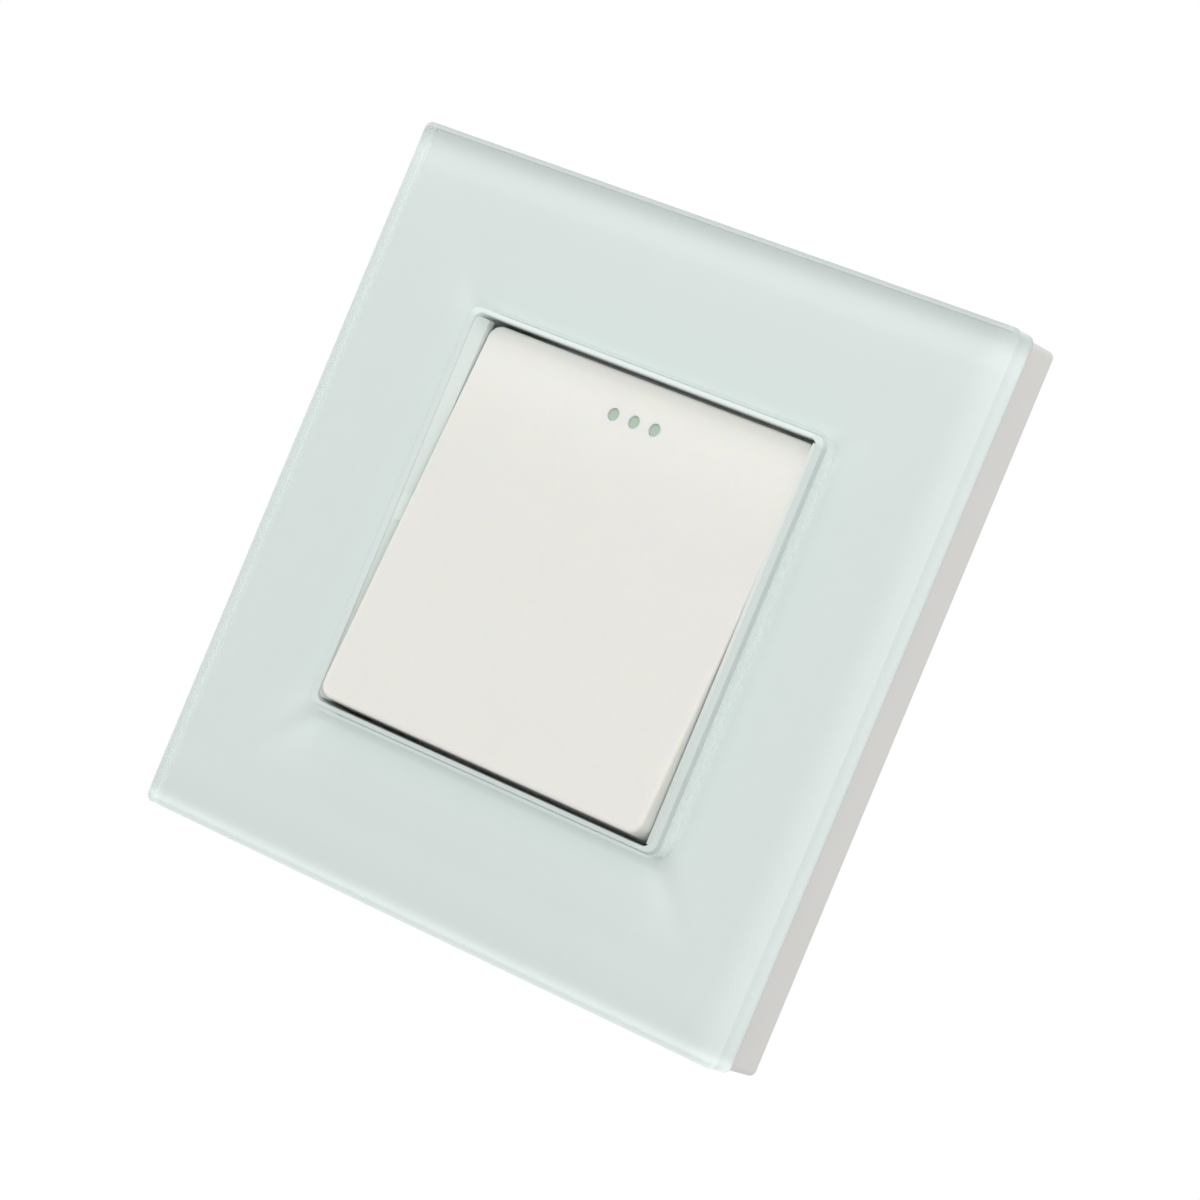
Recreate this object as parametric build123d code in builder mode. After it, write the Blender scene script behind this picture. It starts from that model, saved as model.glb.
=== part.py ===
from build123d import *
from math import cos, pi, radians, sin, sqrt, tan
import os

# Frame: X right, Y into the wall, Z up, origin at the plate's centre on the wall plane
wall_y = 0.0

# Front plate
plate_size = 86.0
plate_projection = 9.5
glass_thickness = 4.0
glass_corner = 1.0
glass_arris = 0.55
glass_rear_arris = 0.45
opening_arris = 0.35
bond_thickness = 0.25
bond_margin = 3.0
bond_border = 2.0

# Plastic carrier behind the glass
carrier_inset = 0.4
carrier_corner = 0.8
carrier_web = 1.6
carrier_rim = 1.8
carrier_edge_radius = 0.2
carrier_clearance = 0.3
carrier_rib_width = 1.2
carrier_rib_height = 0.9
catch_radius = 1.9
catch_reach = 1.6
catch_spacing_x = 40.0
catch_margin = 5.35
catch_clearance = 0.15
catch_tip_radius = 0.8
catch_split = 0.8
pry_width = 8.0
pry_depth = 1.1

# Rocker
rocker_width = 47.7
rocker_height = 47.1
rocker_corner = 1.8
rocker_face = 1.7
rocker_rear_room = 4.1
rocker_wall = 1.4
rocker_draft = 1.5
rocker_edge_radius = 0.4
rocker_flush = 0.05
rocker_tilt = 4.7
rib_offset = 9.5
rib_width = 1.0
rib_height = 2.0
pivot_below_face = 2.2
pivot_radius = 0.8
pivot_clearance = 0.05
pivot_end_gap = 0.1
side_gap = 1.0
end_gap = 0.55

# Night-glow dots
dot_radius = 0.78
dot_pitch = 3.0
dot_count = 3
dot_row_margin = 4.9
dot_clearance = 0.03
dot_recess = 0.3
insert_length = 10.0
insert_height = 3.4
insert_corner = 0.8
insert_thickness = 1.2

# Trim ring
ring_side = 0.95
ring_end = 0.55
ring_inner_corner = 1.0
ring_outer_corner = 1.3
ring_proud = 0.4
ring_lip_radius = 0.18
ring_lip_depth = 5.4
ring_leg_width = 3.0
ring_groove = 0.15
hook_width = 4.0
hook_spacing = 28.0
hook_reach = 1.4
hook_barb = 0.5
hook_clearance = 0.2

# Mounting yoke
yoke_thickness = 1.2
yoke_side_gap = 1.2
yoke_end_gap = 2.6
yoke_corner = 3.0
yoke_lip_gap = 0.15
fixing_spacing = 60.3
fixing_half_width = 2.1
fixing_slot_length = 8.0
yoke_window_margin = 0.2
yoke_window_height = 36.0
yoke_window_corner = 2.0

# Mechanism cover
cover_width = 41.0
cover_end_margin = 2.55
cover_corner = 2.0
cover_flange = 1.2
cover_wall = 1.5
cover_plug_depth = 3.2
cover_fit = 0.2
stem_play_x = 1.25
stem_play_z = 2.25
boss_radius = 2.9
boss_rise = 2.6
boss_roof = 0.4

# Mechanism base
base_width = 40.0
base_height = 46.0
base_depth = 25.5
base_corner = 2.5
base_wall = 2.4
base_rear_radius = 1.0
column_radius = 3.2
core_width = 8.0
core_height = 6.5
core_pitch_x = 10.0
core_pitch_z = 8.5
core_corner = 1.0
core_floor = 2.2

# Assembly screws
screw_spacing_x = 32.8
screw_spacing_z = 14.0
screw_shank_radius = 1.25
screw_head_radius = 2.5
screw_head_height = 1.7
screw_seat_y = 5.0
screw_thread_fit = 0.03
screw_passage = 0.4
screw_head_room = 0.2
screw_tip_gap = 0.4
screw_drive_width = 0.8
screw_drive_length = 3.2
screw_drive_depth = 0.9

# Stop pads
pad_width = 6.2
pad_offset = 19.1
pad_overhang = 1.15
pad_cover_gap = 0.4
pad_gap = 0.1

# Stem, plunger and spring
stem_plate_width = 15.0
stem_plate_height = 17.0
stem_plate_thickness = 1.5
stem_size = 8.5
stem_corner = 1.0
clip_width = 8.0
clip_thickness = 1.2
clip_barb = 0.6
clip_barb_height = 1.0
clip_gap = 0.1
plunger_radius = 2.2
plunger_fit = 0.05
plunger_nose_radius = 1.5
plunger_nose_length = 2.1
plunger_protrusion = 3.5
plunger_clearance = 0.12
spring_pin_radius = 1.1
spring_pin_length = 2.0
spring_wire = 0.4
spring_radius = 1.7
spring_turns = 6
spring_length = 5.8
spring_seat_gap = 0.05
spring_seat_wall = 1.3

# Lever and contacts
lever_width = 5.0
lever_half_length = 9.2
lever_thickness = 0.8
lever_corner = 1.2
lever_tilt = 7.5
contact_arm = 7.5
contact_radius = 1.7
contact_height = 0.7
dome_radius = 1.5
dome_height = 0.7
rivet_shank_radius = 0.8
rivet_head_radius = 1.3
rivet_head_height = 0.35
closed_gap = 0.03
fulcrum_gap = 0.03
fulcrum_radius = 0.35
cheek_thickness = 0.8
cheek_gap = 0.25
cheek_length = 4.0
cheek_rise = 1.0

# Strips and terminals
strip_thickness = 0.8
strip_width = 5.0
strip_end_margin = 0.6
strip_fit = 0.1
terminal_side_margin = 10.0
terminal_end_margin = 7.0
terminal_width = 7.2
terminal_height = 8.0
terminal_depth = 8.0
terminal_edge = 0.3
terminal_fit = 0.1
wire_radius = 1.9
wire_offset = 2.9
wire_entry_radius = 2.4
clamp_radius = 1.75
clamp_fit = 0.05
clamp_head_radius = 2.8
clamp_head_height = 1.7
clamp_travel = 2.0
clamp_tip_gap = 0.1
clamp_slot_width = 0.9
clamp_slot_depth = 0.9
clamp_well_radius = 3.2
clamp_well_margin = 0.9
clamp_edge_radius = 0.3

# Planes along Y
glass_front = wall_y - plate_projection
glass_back = glass_front + glass_thickness
carrier_front = glass_back + bond_thickness
carrier_back = carrier_front + carrier_web
yoke_front = wall_y - yoke_thickness
yoke_lip_front = carrier_back + carrier_rib_height + yoke_lip_gap
ring_front = glass_front - ring_proud
ring_step = ring_front + ring_lip_depth
cover_front = yoke_front - cover_flange
boss_front = cover_front - boss_rise
boss_end = boss_front + boss_roof
base_back = wall_y + base_depth
clamp_seat = base_back - clamp_well_margin - clamp_head_height
terminal_back = clamp_seat - clamp_travel - clamp_tip_gap
terminal_front = terminal_back - terminal_depth
wire_y = terminal_front + wire_offset
chamber_floor = terminal_front - strip_thickness
screw_seat = wall_y + screw_seat_y

# Sizes across the rocker and its ring
ring_inner_width = rocker_width + 2 * side_gap
ring_inner_height = rocker_height + 2 * end_gap
ring_outer_width = ring_inner_width + 2 * ring_side
ring_outer_height = ring_inner_height + 2 * ring_end
opening_width = ring_outer_width + 2 * ring_groove
opening_height = ring_outer_height + 2 * ring_groove
opening_corner = ring_outer_corner + ring_groove
hook_x = (ring_outer_width - ring_side) / 2
rocker_depth = plate_projection - rocker_rear_room
dot_row_height = rocker_height / 2 - dot_row_margin
draft_growth = rocker_depth * tan(radians(rocker_draft))
skirt_width = rocker_width + 2 * draft_growth
skirt_height = rocker_height + 2 * draft_growth

# Sizes across the carrier, the yoke and the cover
carrier_size = plate_size - 2 * carrier_inset
carrier_inner = carrier_size - 2 * carrier_rim
catch_spacing_z = ring_outer_height + 2 * catch_margin
yoke_width = carrier_inner - 2 * yoke_side_gap
yoke_height = carrier_inner - 2 * yoke_end_gap
yoke_window_width = screw_spacing_x - 2 * (column_radius + yoke_window_margin)
cover_height = rocker_height - 2 * cover_end_margin
stem_window_width = stem_size + 2 * stem_play_x
stem_window_height = stem_size + 2 * stem_play_z

# Rocker frame: origin on the pivot axis, its normal out of the tilted face, top edge pressed in
pivot_y = glass_front + rocker_flush + pivot_below_face
rocker_axes = Plane(
    origin=(0, pivot_y, 0),
    x_dir=(1, 0, 0),
    z_dir=(0, -cos(radians(rocker_tilt)), sin(radians(rocker_tilt))),
)
rocker_normal = Axis(rocker_axes.origin, rocker_axes.z_dir)
rocker_rear = pivot_below_face - rocker_depth
rocker_inside = pivot_below_face - rocker_face
skirt_landing = (
    pivot_y
    + skirt_height / 2 * sin(radians(rocker_tilt))
    - rocker_rear * cos(radians(rocker_tilt))
)

# Lever frame: origin on the fulcrum edge, lower arm pressed in onto the lower fixed contact
dome_sphere = (dome_radius**2 + dome_height**2) / (2 * dome_height)
dome_centre = dome_sphere - dome_height
dome_reach = (
    contact_arm * sin(radians(lever_tilt))
    - dome_centre * cos(radians(lever_tilt))
    + dome_sphere
)
contact_z = contact_arm * cos(radians(lever_tilt)) + dome_centre * sin(radians(lever_tilt))
fulcrum_y = chamber_floor - contact_height - closed_gap - dome_reach
lever_axes = Plane(
    origin=(0, fulcrum_y, 0),
    x_dir=(1, 0, 0),
    z_dir=(0, -cos(radians(lever_tilt)), -sin(radians(lever_tilt))),
)

# Heights in the rocker frame: the plunger's tip just clears the lever when both stand square
plunger_tip = pivot_y + lever_thickness + plunger_clearance - fulcrum_y
stem_end = plunger_tip + plunger_protrusion
nose_base = plunger_tip + plunger_nose_length
spring_seat = rocker_inside - stem_plate_thickness - spring_seat_wall
plunger_head = spring_seat - spring_length - 2 * spring_seat_gap

# Places of the fasteners and terminals
terminal_x = base_width / 2 - terminal_side_margin
terminal_z = base_height / 2 - terminal_end_margin
screw_places = [
    (x * screw_spacing_x / 2, z * screw_spacing_z / 2) for x in (-1, 1) for z in (-1, 1)
]
common_place = (terminal_x, terminal_z)
line1_place = (-terminal_x, terminal_z)
line2_place = (-terminal_x, -terminal_z)
blank_place = (terminal_x, -terminal_z)


def wall_plane(y):
    """Plane parallel to the wall at depth y, facing the room."""
    return Plane.XZ.offset(-y)


def rocker_plane(height):
    """Plane parallel to the rocker's face at a height above its pivot axis."""
    return rocker_axes.offset(height)


def lever_plane(height):
    """Plane parallel to the lever at a height above its rear face."""
    return lever_axes.offset(height)


def corners(x, z):
    """The four corner points of a rectangle with half sizes x and z."""
    return [(x, z), (-x, z), (-x, -z), (x, -z)]


# Glass front plate
with BuildPart() as glass_panel:
    with BuildSketch(wall_plane(glass_front)):
        RectangleRounded(plate_size, plate_size, glass_corner)
    extrude(amount=-glass_thickness)
    chamfer(glass_panel.faces().sort_by(Axis.Y)[0].edges(), glass_arris)
    chamfer(glass_panel.faces().sort_by(Axis.Y)[-1].edges(), glass_rear_arris)
    with BuildSketch(wall_plane(glass_front)):
        RectangleRounded(opening_width, opening_height, opening_corner)
    extrude(amount=-glass_thickness, mode=Mode.SUBTRACT)
    chamfer(glass_panel.faces().sort_by(Axis.Y)[0].inner_wires()[0].edges(), opening_arris)

# Adhesive sheet
bond_outer = plate_size - 2 * bond_margin
with BuildPart() as bonding_sheet:
    with BuildSketch(wall_plane(glass_back)):
        RectangleRounded(bond_outer, bond_outer, glass_corner)
        RectangleRounded(
            opening_width + 2 * bond_border,
            opening_height + 2 * bond_border,
            opening_corner,
            mode=Mode.SUBTRACT,
        )
    extrude(amount=-bond_thickness)

# Plastic carrier with its rim, ribs, four split catch posts and a pry notch
rib_x = (opening_width + carrier_inner) / 4
with BuildPart() as panel_carrier:
    with BuildSketch(wall_plane(carrier_front)):
        RectangleRounded(carrier_size, carrier_size, carrier_corner)
    extrude(amount=carrier_front - wall_y)
    fillet(panel_carrier.faces().sort_by(Axis.Y)[-1].edges(), carrier_edge_radius)
    with BuildSketch(wall_plane(carrier_back)):
        Rectangle(carrier_inner, carrier_inner)
    extrude(amount=carrier_back - wall_y, mode=Mode.SUBTRACT)
    with BuildSketch(wall_plane(carrier_back)):
        with Locations((-rib_x, 0), (rib_x, 0)):
            Rectangle(carrier_rib_width, carrier_inner)
        with Locations((0, -catch_spacing_z / 2), (0, catch_spacing_z / 2)):
            Rectangle(carrier_inner, carrier_rib_width)
    extrude(amount=-carrier_rib_height)
    with BuildSketch(wall_plane(carrier_back)):
        with Locations(*corners(catch_spacing_x / 2, catch_spacing_z / 2)):
            Circle(catch_radius)
    extrude(amount=carrier_back - wall_y - catch_reach)
    catch_tips = panel_carrier.faces().sort_by(Axis.Y)[-4:]
    fillet(catch_tips.edges(), catch_tip_radius)
    with BuildSketch(wall_plane(yoke_front)):
        with Locations(*corners(catch_spacing_x / 2, catch_spacing_z / 2)):
            Rectangle(2 * catch_radius, catch_split)
    extrude(amount=yoke_front - wall_y - catch_reach, mode=Mode.SUBTRACT)
    with BuildSketch(wall_plane(carrier_front)):
        RectangleRounded(
            ring_outer_width + 2 * carrier_clearance,
            ring_outer_height + 2 * carrier_clearance,
            opening_corner,
        )
    extrude(amount=-carrier_web - carrier_rib_height, mode=Mode.SUBTRACT)
    with BuildSketch(wall_plane(wall_y)):
        with Locations((0, (carrier_rim - carrier_size) / 2)):
            Rectangle(pry_width, carrier_rim)
    extrude(amount=pry_depth, mode=Mode.SUBTRACT)

# Trim ring: lip round the rocker, bearing holes at its sides, corner legs and four yoke hooks
with BuildPart() as trim_ring:
    with BuildSketch(wall_plane(ring_front)):
        RectangleRounded(ring_outer_width, ring_outer_height, ring_outer_corner)
        RectangleRounded(
            ring_inner_width, ring_inner_height, ring_inner_corner, mode=Mode.SUBTRACT
        )
    extrude(amount=ring_front - yoke_front)
    fillet(trim_ring.faces().sort_by(Axis.Y)[0].edges(), ring_lip_radius)
    with BuildSketch(wall_plane(ring_step)):
        Rectangle(ring_outer_width - 2 * ring_leg_width, ring_outer_height)
    extrude(amount=ring_step - yoke_front, mode=Mode.SUBTRACT)
    with BuildSketch(Plane.YZ.offset(-ring_outer_width / 2)):
        with Locations((pivot_y, 0)):
            Circle(pivot_radius + pivot_clearance)
    extrude(amount=ring_outer_width, mode=Mode.SUBTRACT)
    with BuildSketch(wall_plane(yoke_front)):
        with Locations(*corners(hook_x, hook_spacing / 2)):
            Rectangle(ring_side, hook_width)
    extrude(amount=yoke_front - wall_y - hook_reach)
    with BuildSketch(wall_plane(wall_y + hook_clearance)):
        with Locations(*corners(hook_x + hook_barb / 2, hook_spacing / 2)):
            Rectangle(ring_side + hook_barb, hook_width)
    extrude(amount=hook_clearance - hook_reach)

# Rocker cap with side pivot pins, dot holes, ribs and the stem's clips
clip_t = (stem_plate_height + clip_thickness) / 2 + clip_gap
clip_end = rocker_inside - stem_plate_thickness - clip_gap - clip_barb_height
pin_start = (rocker_width - rocker_wall) / 2
pin_end = ring_outer_width / 2 - pivot_end_gap
with BuildPart() as rocker_cap:
    with BuildSketch(rocker_plane(rocker_rear)):
        RectangleRounded(skirt_width, skirt_height, rocker_corner)
    extrude(amount=rocker_depth, taper=rocker_draft)
    fillet(rocker_cap.faces().sort_by(rocker_normal)[-1].edges(), rocker_edge_radius)
    with BuildSketch(rocker_plane(rocker_rear)):
        Rectangle(skirt_width - 2 * rocker_wall, skirt_height - 2 * rocker_wall)
    extrude(amount=rocker_depth - rocker_face, taper=rocker_draft, mode=Mode.SUBTRACT)
    with BuildSketch(rocker_plane(rocker_inside)):
        with Locations((-rib_offset, 0), (rib_offset, 0)):
            Rectangle(rib_width, rocker_height - rocker_wall)
    extrude(amount=-rib_height)
    for side in (-1, 1):
        with BuildSketch(rocker_plane(rocker_inside)):
            with Locations((0, side * clip_t)):
                Rectangle(clip_width, clip_thickness)
        extrude(amount=clip_end - rocker_inside)
        with BuildSketch(rocker_plane(clip_end)):
            with Locations((0, side * (clip_t - clip_barb / 2))):
                Rectangle(clip_width, clip_thickness + clip_barb)
        extrude(amount=clip_barb_height)
        with BuildSketch(Plane.YZ.offset(side * pin_start)):
            with Locations((pivot_y, 0)):
                Circle(pivot_radius)
        extrude(amount=side * (pin_end - pin_start))
    with BuildSketch(rocker_plane(rocker_inside)):
        with Locations((0, dot_row_height)):
            with GridLocations(dot_pitch, dot_pitch, dot_count, 1):
                Circle(dot_radius)
    extrude(amount=rocker_face, mode=Mode.SUBTRACT)

# Night-glow insert: a strip behind the face with a pip in each hole
with BuildPart() as luminous_insert:
    with BuildSketch(rocker_plane(rocker_inside)):
        with Locations((0, dot_row_height)):
            RectangleRounded(insert_length, insert_height, insert_corner)
    extrude(amount=-insert_thickness)
    with BuildSketch(rocker_plane(rocker_inside)):
        with Locations((0, dot_row_height)):
            with GridLocations(dot_pitch, dot_pitch, dot_count, 1):
                Circle(dot_radius - dot_clearance)
    extrude(amount=rocker_face - dot_recess)

# Stem with the plunger's bore
with BuildPart() as rocker_stem:
    with BuildSketch(rocker_plane(rocker_inside)):
        RectangleRounded(stem_plate_width, stem_plate_height, stem_corner)
    extrude(amount=-stem_plate_thickness)
    with BuildSketch(rocker_plane(rocker_inside)):
        RectangleRounded(stem_size, stem_size, stem_corner)
    extrude(amount=stem_end - rocker_inside)
    with BuildSketch(rocker_plane(stem_end)):
        Circle(plunger_radius + plunger_fit)
    extrude(amount=spring_seat - stem_end, mode=Mode.SUBTRACT)

# Plunger: round nose, guided body and a pin inside the spring
with BuildPart() as contact_plunger:
    with BuildSketch(rocker_plane(nose_base)):
        Circle(plunger_radius)
    extrude(amount=plunger_head - nose_base)
    with BuildSketch(rocker_plane(plunger_head)):
        Circle(spring_pin_radius)
    extrude(amount=spring_pin_length)
    with BuildSketch(rocker_plane(nose_base)):
        Circle(plunger_nose_radius)
    extrude(amount=plunger_nose_radius - plunger_nose_length)
    with Locations(rocker_plane(plunger_tip + plunger_nose_radius)):
        Sphere(plunger_nose_radius)

# Compression spring: one wire, each half turn a pair of arcs that meet in one tangent
spring_pitch = (spring_length - spring_wire) / spring_turns
spring_base = plunger_head + spring_seat_gap + spring_wire / 2


def spring_point(half_turns):
    """Point on the spring's centre line after a number of half turns."""
    angle = pi * half_turns
    height = spring_base + spring_pitch * half_turns / 2
    local = Vector(spring_radius * cos(angle), spring_radius * sin(angle), height)
    return rocker_axes.from_local_coords(local)


def spring_tangent(half_turns):
    """Unit tangent of the spring's centre line after a number of half turns."""
    angle = pi * half_turns
    rise = spring_pitch / (2 * pi)
    local = Vector(-spring_radius * sin(angle), spring_radius * cos(angle), rise)
    return (rocker_axes.from_local_coords(local) - rocker_axes.origin).normalized()


with BuildPart() as plunger_spring:
    with BuildLine() as spring_path:
        for half_turn in range(2 * spring_turns):
            start = spring_point(half_turn)
            end = spring_point(half_turn + 1)
            leaving = spring_tangent(half_turn)
            arriving = spring_tangent(half_turn + 1)
            chord = end - start
            along = chord.dot(leaving + arriving)
            spread = 2 * (1 - leaving.dot(arriving))
            reach = (sqrt(along**2 + spread * chord.dot(chord)) - along) / spread
            before = start + leaving * reach
            after = end - arriving * reach
            middle = (before + after) * 0.5
            TangentArc(start, middle, tangent=leaving)
            TangentArc(middle, end, tangent=(after - before).normalized())
    with BuildSketch(Plane(origin=spring_point(0), z_dir=spring_tangent(0))):
        Circle(spring_wire / 2)
    sweep(path=spring_path.wire())

# Changeover lever with two rivet holes
with BuildPart() as changeover_lever:
    with BuildSketch(lever_plane(0)):
        RectangleRounded(lever_width, 2 * lever_half_length, lever_corner)
        with Locations((0, -contact_arm), (0, contact_arm)):
            Circle(rivet_shank_radius, mode=Mode.SUBTRACT)
    extrude(amount=lever_thickness)

# Domed contact rivets through the lever
with BuildPart() as lever_contacts:
    with BuildSketch(lever_plane(0)):
        with Locations((0, -contact_arm), (0, contact_arm)):
            Circle(rivet_shank_radius)
    extrude(amount=lever_thickness)
    with BuildSketch(lever_plane(lever_thickness)):
        with Locations((0, -contact_arm), (0, contact_arm)):
            Circle(rivet_head_radius)
    extrude(amount=rivet_head_height)
    for arm in (-contact_arm, contact_arm):
        with BuildSketch(Plane(lever_axes.origin, x_dir=(1, 0, 0), z_dir=lever_axes.y_dir).offset(arm)):
            with Locations((0, -dome_centre)):
                Circle(dome_sphere)
            Rectangle(
                2 * dome_sphere,
                4 * dome_sphere,
                align=(Align.MIN, Align.CENTER),
                mode=Mode.INTERSECT,
            )
            Rectangle(
                2 * dome_sphere,
                2 * dome_sphere,
                align=(Align.CENTER, Align.MIN),
                mode=Mode.INTERSECT,
            )
        revolve(axis=Axis(lever_axes.from_local_coords(Vector(0, arm, 0)), lever_axes.z_dir))

# Fixed contacts on the line strips
with BuildPart() as fixed_contacts:
    with BuildSketch(wall_plane(chamber_floor)):
        with Locations((0, -contact_z), (0, contact_z)):
            Circle(contact_radius)
    extrude(amount=contact_height)
    fillet(fixed_contacts.faces().sort_by(Axis.Y)[:2].edges(), fulcrum_radius)

# Strip outlines, each leg given by two opposite corners
cradle_half = lever_width / 2 + cheek_gap + cheek_thickness
strip_half = strip_width / 2
strip_end = terminal_z + terminal_height / 2 - strip_end_margin
common_legs = [
    ((-cradle_half, -strip_half), (terminal_x + strip_half, strip_half)),
    ((terminal_x - strip_half, -strip_half), (terminal_x + strip_half, strip_end)),
]


def line_legs(side):
    """Legs of the line strip above (side 1) or below (side -1) the lever's fulcrum."""
    inner = side * (contact_z - strip_half)
    outer = side * (contact_z + strip_half)
    return [
        ((strip_half, inner), (-terminal_x - strip_half, outer)),
        ((-terminal_x - strip_half, inner), (-terminal_x + strip_half, side * strip_end)),
    ]


def draw_legs(legs, margin=0.0):
    """Draw a strip's legs in the current sketch, grown by a margin."""
    for (x0, z0), (x1, z1) in legs:
        with Locations(((x0 + x1) / 2, (z0 + z1) / 2)):
            Rectangle(abs(x1 - x0) + 2 * margin, abs(z1 - z0) + 2 * margin)


def line_strip(side):
    """Flat brass strip from a fixed contact to its terminal."""
    with BuildPart() as strip:
        with BuildSketch(wall_plane(chamber_floor)):
            draw_legs(line_legs(side))
        extrude(amount=-strip_thickness)
    return strip


line1_strip = line_strip(1)
line2_strip = line_strip(-1)

# Common strip with the lever's fulcrum edge and the two cheeks that hold the lever sideways
fulcrum_tip = fulcrum_y + fulcrum_gap + fulcrum_radius
cheek_front = fulcrum_y - lever_thickness - cheek_rise
with BuildPart() as common_strip:
    with BuildSketch(wall_plane(chamber_floor)):
        draw_legs(common_legs)
    extrude(amount=-strip_thickness)
    with BuildSketch(Plane.YZ.offset(-lever_width / 2)):
        with Locations((fulcrum_tip, 0)):
            Circle(fulcrum_radius)
            Rectangle(
                chamber_floor - fulcrum_tip,
                2 * fulcrum_radius,
                align=(Align.MIN, Align.CENTER),
            )
    extrude(amount=lever_width)
    with BuildSketch(wall_plane(chamber_floor)):
        cheek_x = cradle_half - cheek_thickness / 2
        with Locations((-cheek_x, 0), (cheek_x, 0)):
            Rectangle(cheek_thickness, cheek_length)
    extrude(amount=chamber_floor - cheek_front)


def terminal_block(place):
    """Brass block with a wire bore along Z and a clamp screw hole from the rear."""
    x, z = place
    with BuildPart() as block:
        with BuildSketch(wall_plane(terminal_front)):
            with Locations(place):
                Rectangle(terminal_width, terminal_height)
        extrude(amount=-terminal_depth)
        chamfer(block.edges().filter_by(Axis.Y), terminal_edge)
        with BuildSketch(Plane.XY.offset(z - terminal_height / 2)):
            with Locations((x, wire_y)):
                Circle(wire_radius)
        extrude(amount=terminal_height, mode=Mode.SUBTRACT)
        with BuildSketch(wall_plane(terminal_back)):
            with Locations(place):
                Circle(clamp_radius + clamp_fit)
        extrude(amount=terminal_back - wire_y, mode=Mode.SUBTRACT)
    return block


def clamp_screw(place):
    """Slotted screw that enters a terminal block from the rear."""
    tip = wire_y + wire_radius + clamp_tip_gap
    with BuildPart() as screw:
        with BuildSketch(wall_plane(clamp_seat)):
            with Locations(place):
                Circle(clamp_radius)
        extrude(amount=clamp_seat - tip)
        with BuildSketch(wall_plane(clamp_seat)):
            with Locations(place):
                Circle(clamp_head_radius)
        extrude(amount=-clamp_head_height)
        fillet(screw.faces().sort_by(Axis.Y)[-1].edges(), clamp_edge_radius)
        with BuildSketch(wall_plane(clamp_seat + clamp_head_height)):
            with Locations(place):
                Rectangle(2 * clamp_head_radius, clamp_slot_width)
        extrude(amount=clamp_slot_depth, mode=Mode.SUBTRACT)
    return screw


common_terminal = terminal_block(common_place)
line1_terminal = terminal_block(line1_place)
line2_terminal = terminal_block(line2_place)
common_clamp_screw = clamp_screw(common_place)
line1_clamp_screw = clamp_screw(line1_place)
line2_clamp_screw = clamp_screw(line2_place)

# Mechanism base: lever chamber, strip beds, terminal pockets, wire entries and screw wells
core_back = terminal_front + core_floor
with BuildPart() as mechanism_base:
    with BuildSketch(wall_plane(wall_y)):
        RectangleRounded(base_width, base_height, base_corner)
    extrude(amount=-base_depth)
    fillet(mechanism_base.faces().sort_by(Axis.Y)[-1].edges(), base_rear_radius)
    with BuildSketch(wall_plane(wall_y)):
        Rectangle(base_width - 2 * base_wall, base_height - 2 * base_wall)
        with Locations(*screw_places):
            Circle(column_radius, mode=Mode.SUBTRACT)
    extrude(amount=wall_y - chamber_floor, mode=Mode.SUBTRACT)
    with BuildSketch(wall_plane(chamber_floor)):
        for legs in (common_legs, line_legs(1), line_legs(-1)):
            draw_legs(legs, strip_fit)
    extrude(amount=-strip_thickness, mode=Mode.SUBTRACT)
    with BuildSketch(wall_plane(terminal_front)):
        with Locations(common_place, line1_place, line2_place):
            Rectangle(terminal_width + 2 * terminal_fit, terminal_height + 2 * terminal_fit)
    extrude(amount=-terminal_depth, mode=Mode.SUBTRACT)
    with BuildSketch(wall_plane(base_back)):
        with Locations(common_place, line1_place, line2_place):
            Circle(clamp_well_radius)
    extrude(amount=base_back - terminal_back, mode=Mode.SUBTRACT)
    with BuildSketch(wall_plane(base_back)):
        with GridLocations(core_pitch_x, core_pitch_z, 2, 2):
            RectangleRounded(core_width, core_height, core_corner)
        with Locations(blank_place):
            RectangleRounded(core_width, core_width, core_corner)
    extrude(amount=base_back - core_back, mode=Mode.SUBTRACT)
    with BuildSketch(wall_plane(base_back)):
        with Locations(*screw_places):
            Circle(screw_head_radius + screw_head_room)
    extrude(amount=base_back - screw_seat, mode=Mode.SUBTRACT)
    with BuildSketch(wall_plane(screw_seat)):
        with Locations(*screw_places):
            Circle(screw_shank_radius + screw_passage)
    extrude(amount=screw_seat_y, mode=Mode.SUBTRACT)
    for x, z in (common_place, line1_place, line2_place):
        side = z / abs(z)
        with BuildSketch(Plane.XY.offset(side * base_height / 2)):
            with Locations((x, wire_y)):
                Circle(wire_entry_radius)
        extrude(amount=z - side * base_height / 2, mode=Mode.SUBTRACT)

# Mechanism cover: flange on the yoke, plug through its window, stem window and screw bosses
with BuildPart() as mechanism_cover:
    with BuildSketch(wall_plane(yoke_front)):
        RectangleRounded(cover_width, cover_height, cover_corner)
    extrude(amount=cover_flange)
    with BuildSketch(wall_plane(yoke_front)):
        RectangleRounded(
            yoke_window_width - 2 * cover_fit,
            yoke_window_height - 2 * cover_fit,
            yoke_window_corner,
        )
        Rectangle(
            yoke_window_width - 2 * cover_fit - 2 * cover_wall,
            yoke_window_height - 2 * cover_fit - 2 * cover_wall,
            mode=Mode.SUBTRACT,
        )
    extrude(amount=-cover_plug_depth)
    with BuildSketch(wall_plane(cover_front)):
        with Locations(*screw_places):
            Circle(boss_radius)
    extrude(amount=boss_rise)
    with BuildSketch(wall_plane(yoke_front)):
        with Locations(*screw_places):
            Circle(screw_shank_radius + screw_thread_fit)
    extrude(amount=yoke_front - boss_end, mode=Mode.SUBTRACT)
    with BuildSketch(wall_plane(yoke_front)):
        Rectangle(stem_window_width, stem_window_height)
    extrude(amount=cover_flange, mode=Mode.SUBTRACT)

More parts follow.
